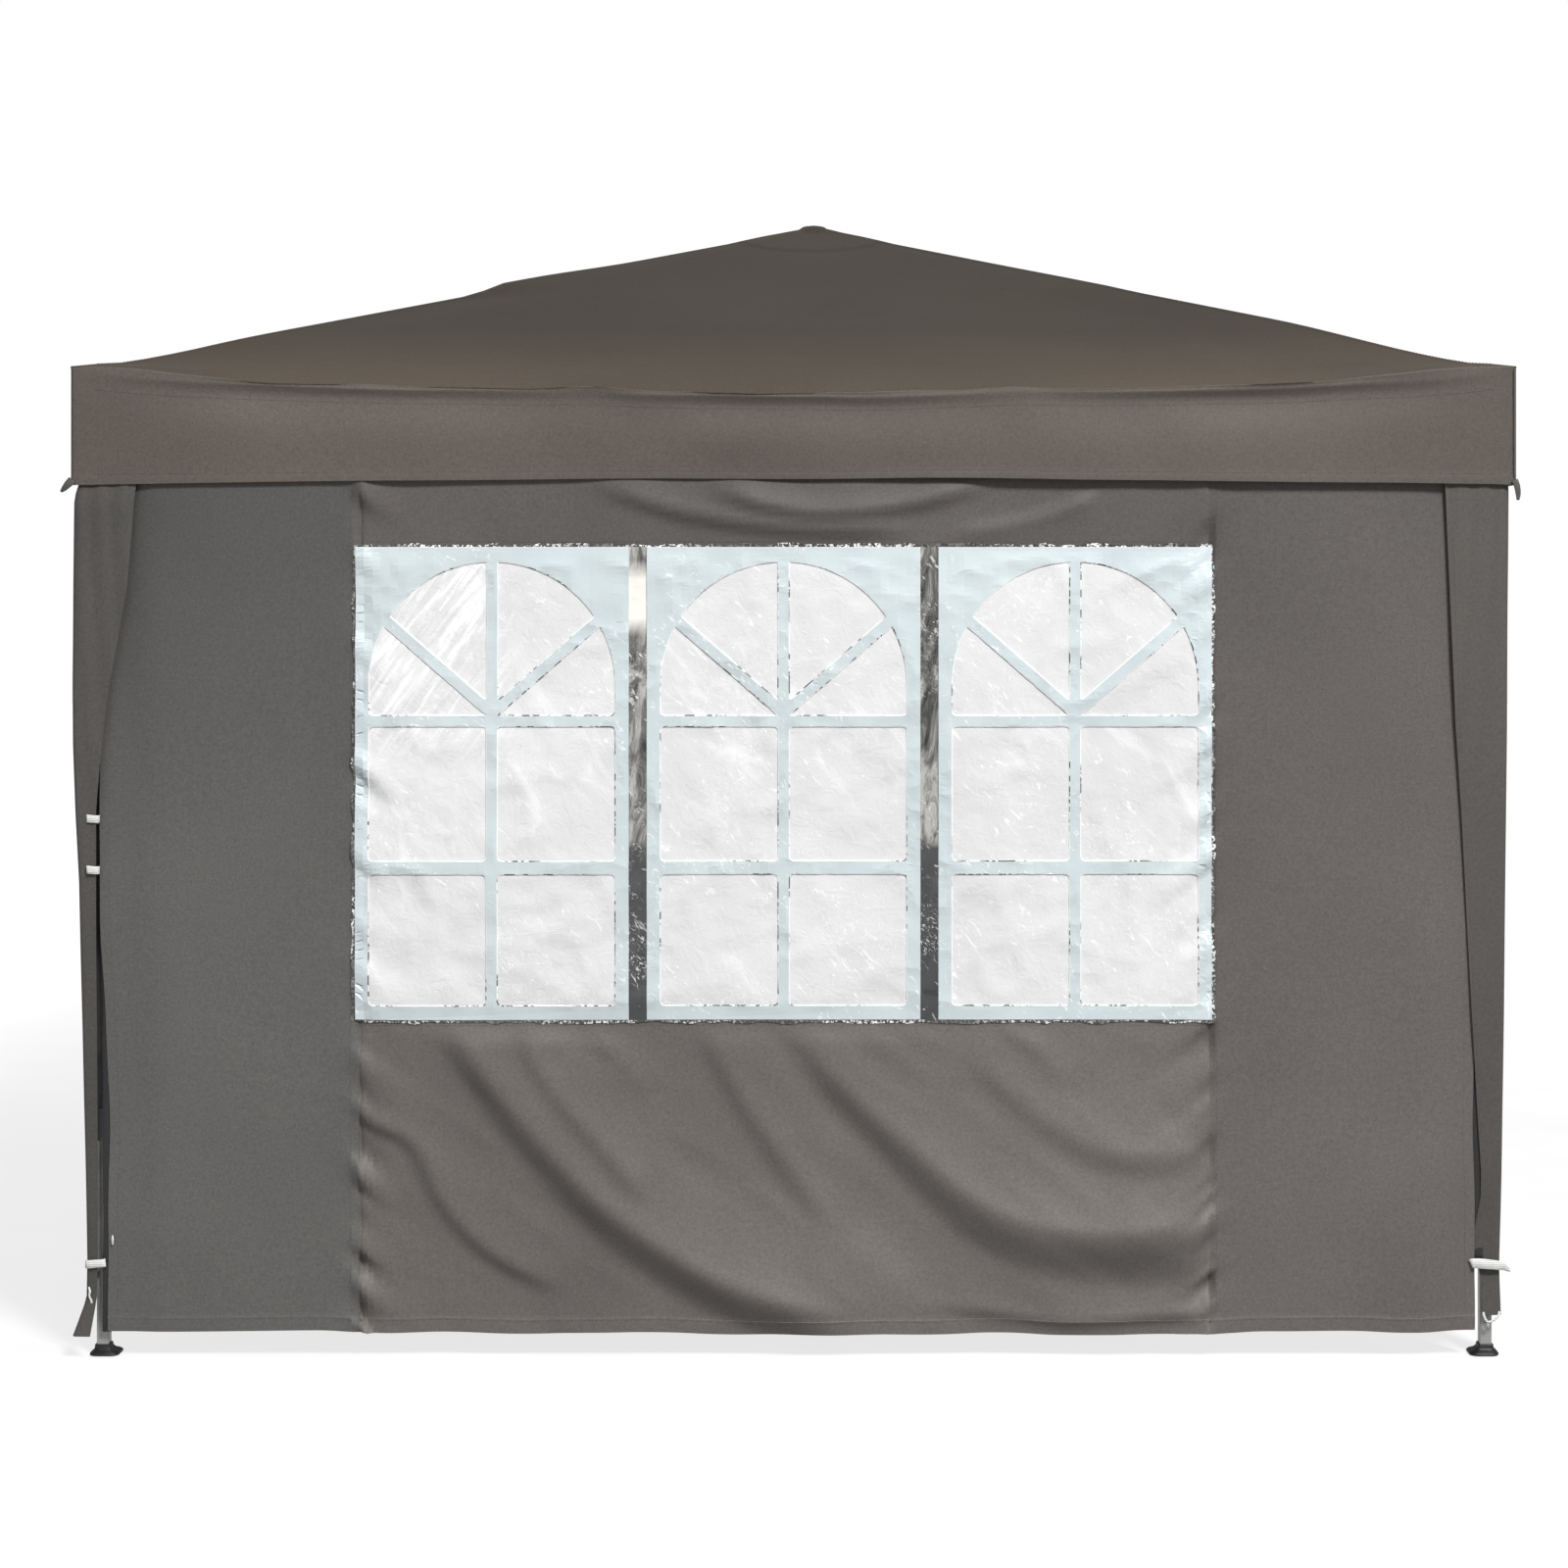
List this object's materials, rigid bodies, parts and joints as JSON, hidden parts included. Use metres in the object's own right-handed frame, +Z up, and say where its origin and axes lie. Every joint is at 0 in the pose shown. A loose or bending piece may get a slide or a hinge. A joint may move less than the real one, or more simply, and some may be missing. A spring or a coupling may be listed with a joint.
{
  "type": "tent on poles",
  "caption": "Square pop-up tent on four telescoping poles with a folding scissor frame, a peaked fabric roof, leg covers and one windowed side wall.",
  "frame": {"origin": "on the floor under the peak, at the middle of the square", "axes": "+X right, +Y towards the open back, +Z up; the windowed wall faces -Y"},
  "size_m": [3, 3, 2.55],
  "materials": {
    "dark_steel": "dark grey powder coat",
    "silver_steel": "silver hammered powder coat",
    "black_plastic": "moulded nylon",
    "button_plastic": "moulded nylon",
    "canopy_cloth": "coated woven polyester",
    "wall_cloth": "coated woven polyester",
    "clear_film": "glossy clear vinyl"
  },
  "bodies": {
    "upper_hub": {"hub_top": "black_plastic", "canopy": "canopy_cloth", "wall_panel": "wall_cloth", "window_film": "clear_film"},
    "centre_bar_up_front": {"centre_bar_up_front": "silver_steel"},
    "centre_bar_down_front": {"centre_bar_down_front": "silver_steel"},
    "mid_top_front": {"mid_top_front": "black_plastic"},
    "mid_bottom_front": {"mid_bottom_front": "black_plastic"},
    "outer_bar_front_left": {"outer_bar_front_left": "silver_steel"},
    "outer_bar_front_right": {"outer_bar_front_right": "silver_steel"},
    "inner_bar_front_left": {"inner_bar_front_left": "silver_steel"},
    "inner_bar_front_right": {"inner_bar_front_right": "silver_steel"},
    "leg_front_left": {"outer_leg_front_left": "dark_steel"},
    "foot_front_left": {"inner_leg_front_left": "silver_steel"},
    "slider_front_left": {"slider_front_left": "black_plastic"},
    "slider_button_front_left": {"slider_button_front_left": "button_plastic"},
    "leg_button_front_left": {"leg_button_front_left": "button_plastic"},
    "lower_hub": {"hub_bottom": "black_plastic", "peak_post": "silver_steel", "peak_plug": "black_plastic"},
    "centre_bar_up_right": {"centre_bar_up_right": "silver_steel"},
    "centre_bar_down_right": {"centre_bar_down_right": "silver_steel"},
    "mid_top_right": {"mid_top_right": "black_plastic"},
    "mid_bottom_right": {"mid_bottom_right": "black_plastic"},
    "outer_bar_right_front": {"outer_bar_right_front": "silver_steel"},
    "outer_bar_right_back": {"outer_bar_right_back": "silver_steel"},
    "inner_bar_right_front": {"inner_bar_right_front": "silver_steel"},
    "inner_bar_right_back": {"inner_bar_right_back": "silver_steel"},
    "leg_front_right": {"outer_leg_front_right": "dark_steel"},
    "foot_front_right": {"inner_leg_front_right": "silver_steel"},
    "slider_front_right": {"slider_front_right": "black_plastic"},
    "slider_button_front_right": {"slider_button_front_right": "button_plastic"},
    "leg_button_front_right": {"leg_button_front_right": "button_plastic"},
    "centre_bar_up_back": {"centre_bar_up_back": "silver_steel"},
    "centre_bar_down_back": {"centre_bar_down_back": "silver_steel"},
    "mid_top_back": {"mid_top_back": "black_plastic"},
    "mid_bottom_back": {"mid_bottom_back": "black_plastic"},
    "outer_bar_back_right": {"outer_bar_back_right": "silver_steel"},
    "outer_bar_back_left": {"outer_bar_back_left": "silver_steel"},
    "inner_bar_back_right": {"inner_bar_back_right": "silver_steel"},
    "inner_bar_back_left": {"inner_bar_back_left": "silver_steel"},
    "leg_back_right": {"outer_leg_back_right": "dark_steel"},
    "foot_back_right": {"inner_leg_back_right": "silver_steel"},
    "slider_back_right": {"slider_back_right": "black_plastic"},
    "slider_button_back_right": {"slider_button_back_right": "button_plastic"},
    "leg_button_back_right": {"leg_button_back_right": "button_plastic"},
    "centre_bar_up_left": {"centre_bar_up_left": "silver_steel"},
    "centre_bar_down_left": {"centre_bar_down_left": "silver_steel"},
    "mid_top_left": {"mid_top_left": "black_plastic"},
    "mid_bottom_left": {"mid_bottom_left": "black_plastic"},
    "outer_bar_left_back": {"outer_bar_left_back": "silver_steel"},
    "outer_bar_left_front": {"outer_bar_left_front": "silver_steel"},
    "inner_bar_left_back": {"inner_bar_left_back": "silver_steel"},
    "inner_bar_left_front": {"inner_bar_left_front": "silver_steel"},
    "leg_back_left": {"outer_leg_back_left": "dark_steel"},
    "foot_back_left": {"inner_leg_back_left": "silver_steel"},
    "slider_back_left": {"slider_back_left": "black_plastic"},
    "slider_button_back_left": {"slider_button_back_left": "button_plastic"},
    "leg_button_back_left": {"leg_button_back_left": "button_plastic"}
  },
  "joints": [
    {"name": "frame_fold", "type": "hinge", "parent": "upper_hub", "child": "centre_bar_up_front", "pos_m": [0.007, -0.042, 2], "axis": [1, 0, 0], "range_deg": [0, 73.8], "deforming": ["canopy", "wall_panel", "window_film"]},
    {"name": "mid_bottom_front_turn", "type": "hinge", "parent": "centre_bar_up_front", "child": "mid_bottom_front", "pos_m": [0.007, -1.407, 1.65], "axis": [1, 0, 0], "range_deg": [-74.3, 0]},
    {"name": "centre_bar_down_front_turn", "type": "hinge", "parent": "centre_bar_up_front", "child": "centre_bar_down_front", "pos_m": [-0.007, -0.7245, 1.825], "axis": [1, 0, 0], "range_deg": [-148.6, 0]},
    {"name": "mid_top_front_turn", "type": "hinge", "parent": "centre_bar_down_front", "child": "mid_top_front", "pos_m": [-0.007, -1.407, 2], "axis": [1, 0, 0], "range_deg": [0, 74.3]},
    {"name": "outer_bar_front_left_turn", "type": "hinge", "parent": "mid_bottom_front", "child": "outer_bar_front_left", "pos_m": [-0.025, -1.452, 1.65], "axis": [0, 1, 0], "range_deg": [0, 74.3]},
    {"name": "outer_bar_front_right_turn", "type": "hinge", "parent": "mid_bottom_front", "child": "outer_bar_front_right", "pos_m": [0.025, -1.452, 1.65], "axis": [0, 1, 0], "range_deg": [-74.3, 0]},
    {"name": "inner_bar_front_left_turn", "type": "hinge", "parent": "mid_top_front", "child": "inner_bar_front_left", "pos_m": [-0.025, -1.438, 2], "axis": [0, 1, 0], "range_deg": [-74.3, 0]},
    {"name": "inner_bar_front_right_turn", "type": "hinge", "parent": "mid_top_front", "child": "inner_bar_front_right", "pos_m": [0.025, -1.438, 2], "axis": [0, 1, 0], "range_deg": [0, 74.3]},
    {"name": "leg_front_left_turn", "type": "hinge", "parent": "outer_bar_front_left", "child": "leg_front_left", "pos_m": [-1.39, -1.452, 2], "axis": [0, 1, 0], "range_deg": [-74.3, 0]},
    {"name": "slider_front_left_turn", "type": "hinge", "parent": "inner_bar_front_left", "child": "slider_front_left", "pos_m": [-1.39, -1.438, 1.65], "axis": [0, 1, 0], "range_deg": [0, 74.3]},
    {"name": "lower_hub_turn", "type": "hinge", "parent": "centre_bar_down_front", "child": "lower_hub", "pos_m": [-0.007, -0.042, 1.65], "axis": [1, 0, 0], "range_deg": [0, 74.3]},
    {"name": "foot_front_left_slide", "type": "slide", "parent": "leg_front_left", "child": "foot_front_left", "axis": [0, 0, 1], "range_m": [0, 0.4]},
    {"name": "slider_button_front_left_pull", "type": "slide", "parent": "slider_front_left", "child": "slider_button_front_left", "axis": [0, 1, 0], "range_m": [0, 0.005], "stiffness_N_per_m": 600, "springref_m": -0.002},
    {"name": "leg_button_front_left_pull", "type": "slide", "parent": "leg_front_left", "child": "leg_button_front_left", "axis": [0, 1, 0], "range_m": [0, 0.005], "stiffness_N_per_m": 600, "springref_m": -0.002},
    {"name": "centre_bar_up_right_turn", "type": "hinge", "parent": "upper_hub", "child": "centre_bar_up_right", "pos_m": [0.042, 0.007, 2], "axis": [0, 1, 0], "range_deg": [0, 74.3]},
    {"name": "mid_bottom_right_turn", "type": "hinge", "parent": "centre_bar_up_right", "child": "mid_bottom_right", "pos_m": [1.407, 0.007, 1.65], "axis": [0, 1, 0], "range_deg": [-74.3, 0]},
    {"name": "centre_bar_down_right_turn", "type": "hinge", "parent": "centre_bar_up_right", "child": "centre_bar_down_right", "pos_m": [0.7245, -0.007, 1.825], "axis": [0, 1, 0], "range_deg": [-148.6, 0]},
    {"name": "mid_top_right_turn", "type": "hinge", "parent": "centre_bar_down_right", "child": "mid_top_right", "pos_m": [1.407, -0.007, 2], "axis": [0, 1, 0], "range_deg": [0, 74.3]},
    {"name": "outer_bar_right_front_turn", "type": "hinge", "parent": "mid_bottom_right", "child": "outer_bar_right_front", "pos_m": [1.452, -0.025, 1.65], "axis": [-1, 0, 0], "range_deg": [0, 74.3]},
    {"name": "outer_bar_right_back_turn", "type": "hinge", "parent": "mid_bottom_right", "child": "outer_bar_right_back", "pos_m": [1.452, 0.025, 1.65], "axis": [-1, 0, 0], "range_deg": [-74.3, 0]},
    {"name": "inner_bar_right_front_turn", "type": "hinge", "parent": "mid_top_right", "child": "inner_bar_right_front", "pos_m": [1.438, -0.025, 2], "axis": [-1, 0, 0], "range_deg": [-74.3, 0]},
    {"name": "inner_bar_right_back_turn", "type": "hinge", "parent": "mid_top_right", "child": "inner_bar_right_back", "pos_m": [1.438, 0.025, 2], "axis": [-1, 0, 0], "range_deg": [0, 74.3]},
    {"name": "leg_front_right_turn", "type": "hinge", "parent": "outer_bar_right_front", "child": "leg_front_right", "pos_m": [1.452, -1.39, 2], "axis": [-1, 0, 0], "range_deg": [-74.3, 0]},
    {"name": "slider_front_right_turn", "type": "hinge", "parent": "inner_bar_right_front", "child": "slider_front_right", "pos_m": [1.438, -1.39, 1.65], "axis": [-1, 0, 0], "range_deg": [0, 74.3]},
    {"name": "foot_front_right_slide", "type": "slide", "parent": "leg_front_right", "child": "foot_front_right", "axis": [0, 0, 1], "range_m": [0, 0.4]},
    {"name": "slider_button_front_right_pull", "type": "slide", "parent": "slider_front_right", "child": "slider_button_front_right", "axis": [-1, 0, 0], "range_m": [0, 0.005], "stiffness_N_per_m": 600, "springref_m": -0.002},
    {"name": "leg_button_front_right_pull", "type": "slide", "parent": "leg_front_right", "child": "leg_button_front_right", "axis": [-1, 0, 0], "range_m": [0, 0.005], "stiffness_N_per_m": 600, "springref_m": -0.002},
    {"name": "centre_bar_up_back_turn", "type": "hinge", "parent": "upper_hub", "child": "centre_bar_up_back", "pos_m": [-0.007, 0.042, 2], "axis": [-1, 0, 0], "range_deg": [0, 74.3]},
    {"name": "mid_bottom_back_turn", "type": "hinge", "parent": "centre_bar_up_back", "child": "mid_bottom_back", "pos_m": [-0.007, 1.407, 1.65], "axis": [-1, 0, 0], "range_deg": [-74.3, 0]},
    {"name": "centre_bar_down_back_turn", "type": "hinge", "parent": "centre_bar_up_back", "child": "centre_bar_down_back", "pos_m": [0.007, 0.7245, 1.825], "axis": [-1, 0, 0], "range_deg": [-148.6, 0]},
    {"name": "mid_top_back_turn", "type": "hinge", "parent": "centre_bar_down_back", "child": "mid_top_back", "pos_m": [0.007, 1.407, 2], "axis": [-1, 0, 0], "range_deg": [0, 74.3]},
    {"name": "outer_bar_back_right_turn", "type": "hinge", "parent": "mid_bottom_back", "child": "outer_bar_back_right", "pos_m": [0.025, 1.452, 1.65], "axis": [0, -1, 0], "range_deg": [0, 74.3]},
    {"name": "outer_bar_back_left_turn", "type": "hinge", "parent": "mid_bottom_back", "child": "outer_bar_back_left", "pos_m": [-0.025, 1.452, 1.65], "axis": [0, -1, 0], "range_deg": [-74.3, 0]},
    {"name": "inner_bar_back_right_turn", "type": "hinge", "parent": "mid_top_back", "child": "inner_bar_back_right", "pos_m": [0.025, 1.438, 2], "axis": [0, -1, 0], "range_deg": [-74.3, 0]},
    {"name": "inner_bar_back_left_turn", "type": "hinge", "parent": "mid_top_back", "child": "inner_bar_back_left", "pos_m": [-0.025, 1.438, 2], "axis": [0, -1, 0], "range_deg": [0, 74.3]},
    {"name": "leg_back_right_turn", "type": "hinge", "parent": "outer_bar_back_right", "child": "leg_back_right", "pos_m": [1.39, 1.452, 2], "axis": [0, -1, 0], "range_deg": [-74.3, 0]},
    {"name": "slider_back_right_turn", "type": "hinge", "parent": "inner_bar_back_right", "child": "slider_back_right", "pos_m": [1.39, 1.438, 1.65], "axis": [0, -1, 0], "range_deg": [0, 74.3]},
    {"name": "foot_back_right_slide", "type": "slide", "parent": "leg_back_right", "child": "foot_back_right", "axis": [0, 0, 1], "range_m": [0, 0.4]},
    {"name": "slider_button_back_right_pull", "type": "slide", "parent": "slider_back_right", "child": "slider_button_back_right", "axis": [0, -1, 0], "range_m": [0, 0.005], "stiffness_N_per_m": 600, "springref_m": -0.002},
    {"name": "leg_button_back_right_pull", "type": "slide", "parent": "leg_back_right", "child": "leg_button_back_right", "axis": [0, -1, 0], "range_m": [0, 0.005], "stiffness_N_per_m": 600, "springref_m": -0.002},
    {"name": "centre_bar_up_left_turn", "type": "hinge", "parent": "upper_hub", "child": "centre_bar_up_left", "pos_m": [-0.042, -0.007, 2], "axis": [0, -1, 0], "range_deg": [0, 74.3]},
    {"name": "mid_bottom_left_turn", "type": "hinge", "parent": "centre_bar_up_left", "child": "mid_bottom_left", "pos_m": [-1.407, -0.007, 1.65], "axis": [0, -1, 0], "range_deg": [-74.3, 0]},
    {"name": "centre_bar_down_left_turn", "type": "hinge", "parent": "centre_bar_up_left", "child": "centre_bar_down_left", "pos_m": [-0.7245, 0.007, 1.825], "axis": [0, -1, 0], "range_deg": [-148.6, 0]},
    {"name": "mid_top_left_turn", "type": "hinge", "parent": "centre_bar_down_left", "child": "mid_top_left", "pos_m": [-1.407, 0.007, 2], "axis": [0, -1, 0], "range_deg": [0, 74.3]},
    {"name": "outer_bar_left_back_turn", "type": "hinge", "parent": "mid_bottom_left", "child": "outer_bar_left_back", "pos_m": [-1.452, 0.025, 1.65], "axis": [1, 0, 0], "range_deg": [0, 74.3]},
    {"name": "outer_bar_left_front_turn", "type": "hinge", "parent": "mid_bottom_left", "child": "outer_bar_left_front", "pos_m": [-1.452, -0.025, 1.65], "axis": [1, 0, 0], "range_deg": [-74.3, 0]},
    {"name": "inner_bar_left_back_turn", "type": "hinge", "parent": "mid_top_left", "child": "inner_bar_left_back", "pos_m": [-1.438, 0.025, 2], "axis": [1, 0, 0], "range_deg": [-74.3, 0]},
    {"name": "inner_bar_left_front_turn", "type": "hinge", "parent": "mid_top_left", "child": "inner_bar_left_front", "pos_m": [-1.438, -0.025, 2], "axis": [1, 0, 0], "range_deg": [0, 74.3]},
    {"name": "leg_back_left_turn", "type": "hinge", "parent": "outer_bar_left_back", "child": "leg_back_left", "pos_m": [-1.452, 1.39, 2], "axis": [1, 0, 0], "range_deg": [-74.3, 0]},
    {"name": "slider_back_left_turn", "type": "hinge", "parent": "inner_bar_left_back", "child": "slider_back_left", "pos_m": [-1.438, 1.39, 1.65], "axis": [1, 0, 0], "range_deg": [0, 74.3]},
    {"name": "foot_back_left_slide", "type": "slide", "parent": "leg_back_left", "child": "foot_back_left", "axis": [0, 0, 1], "range_m": [0, 0.4]},
    {"name": "slider_button_back_left_pull", "type": "slide", "parent": "slider_back_left", "child": "slider_button_back_left", "axis": [1, 0, 0], "range_m": [0, 0.005], "stiffness_N_per_m": 600, "springref_m": -0.002},
    {"name": "leg_button_back_left_pull", "type": "slide", "parent": "leg_back_left", "child": "leg_button_back_left", "axis": [1, 0, 0], "range_m": [0, 0.005], "stiffness_N_per_m": 600, "springref_m": -0.002}
  ],
  "couplings": [
    {"joint": "mid_bottom_front_turn", "follows": "frame_fold", "ratio": -1},
    {"joint": "centre_bar_down_front_turn", "follows": "frame_fold", "ratio": -2},
    {"joint": "mid_top_front_turn", "follows": "frame_fold", "ratio": 1},
    {"joint": "outer_bar_front_left_turn", "follows": "frame_fold", "ratio": 1},
    {"joint": "outer_bar_front_right_turn", "follows": "frame_fold", "ratio": -1},
    {"joint": "inner_bar_front_left_turn", "follows": "frame_fold", "ratio": -1},
    {"joint": "inner_bar_front_right_turn", "follows": "frame_fold", "ratio": 1},
    {"joint": "leg_front_left_turn", "follows": "frame_fold", "ratio": -1},
    {"joint": "slider_front_left_turn", "follows": "frame_fold", "ratio": 1},
    {"joint": "lower_hub_turn", "follows": "frame_fold", "ratio": 1},
    {"joint": "centre_bar_up_right_turn", "follows": "frame_fold", "ratio": 1},
    {"joint": "mid_bottom_right_turn", "follows": "frame_fold", "ratio": -1},
    {"joint": "centre_bar_down_right_turn", "follows": "frame_fold", "ratio": -2},
    {"joint": "mid_top_right_turn", "follows": "frame_fold", "ratio": 1},
    {"joint": "outer_bar_right_front_turn", "follows": "frame_fold", "ratio": 1},
    {"joint": "outer_bar_right_back_turn", "follows": "frame_fold", "ratio": -1},
    {"joint": "inner_bar_right_front_turn", "follows": "frame_fold", "ratio": -1},
    {"joint": "inner_bar_right_back_turn", "follows": "frame_fold", "ratio": 1},
    {"joint": "leg_front_right_turn", "follows": "frame_fold", "ratio": -1},
    {"joint": "slider_front_right_turn", "follows": "frame_fold", "ratio": 1},
    {"joint": "centre_bar_up_back_turn", "follows": "frame_fold", "ratio": 1},
    {"joint": "mid_bottom_back_turn", "follows": "frame_fold", "ratio": -1},
    {"joint": "centre_bar_down_back_turn", "follows": "frame_fold", "ratio": -2},
    {"joint": "mid_top_back_turn", "follows": "frame_fold", "ratio": 1},
    {"joint": "outer_bar_back_right_turn", "follows": "frame_fold", "ratio": 1},
    {"joint": "outer_bar_back_left_turn", "follows": "frame_fold", "ratio": -1},
    {"joint": "inner_bar_back_right_turn", "follows": "frame_fold", "ratio": -1},
    {"joint": "inner_bar_back_left_turn", "follows": "frame_fold", "ratio": 1},
    {"joint": "leg_back_right_turn", "follows": "frame_fold", "ratio": -1},
    {"joint": "slider_back_right_turn", "follows": "frame_fold", "ratio": 1},
    {"joint": "centre_bar_up_left_turn", "follows": "frame_fold", "ratio": 1},
    {"joint": "mid_bottom_left_turn", "follows": "frame_fold", "ratio": -1},
    {"joint": "centre_bar_down_left_turn", "follows": "frame_fold", "ratio": -2},
    {"joint": "mid_top_left_turn", "follows": "frame_fold", "ratio": 1},
    {"joint": "outer_bar_left_back_turn", "follows": "frame_fold", "ratio": 1},
    {"joint": "outer_bar_left_front_turn", "follows": "frame_fold", "ratio": -1},
    {"joint": "inner_bar_left_back_turn", "follows": "frame_fold", "ratio": -1},
    {"joint": "inner_bar_left_front_turn", "follows": "frame_fold", "ratio": 1},
    {"joint": "leg_back_left_turn", "follows": "frame_fold", "ratio": -1},
    {"joint": "slider_back_left_turn", "follows": "frame_fold", "ratio": 1}
  ]
}
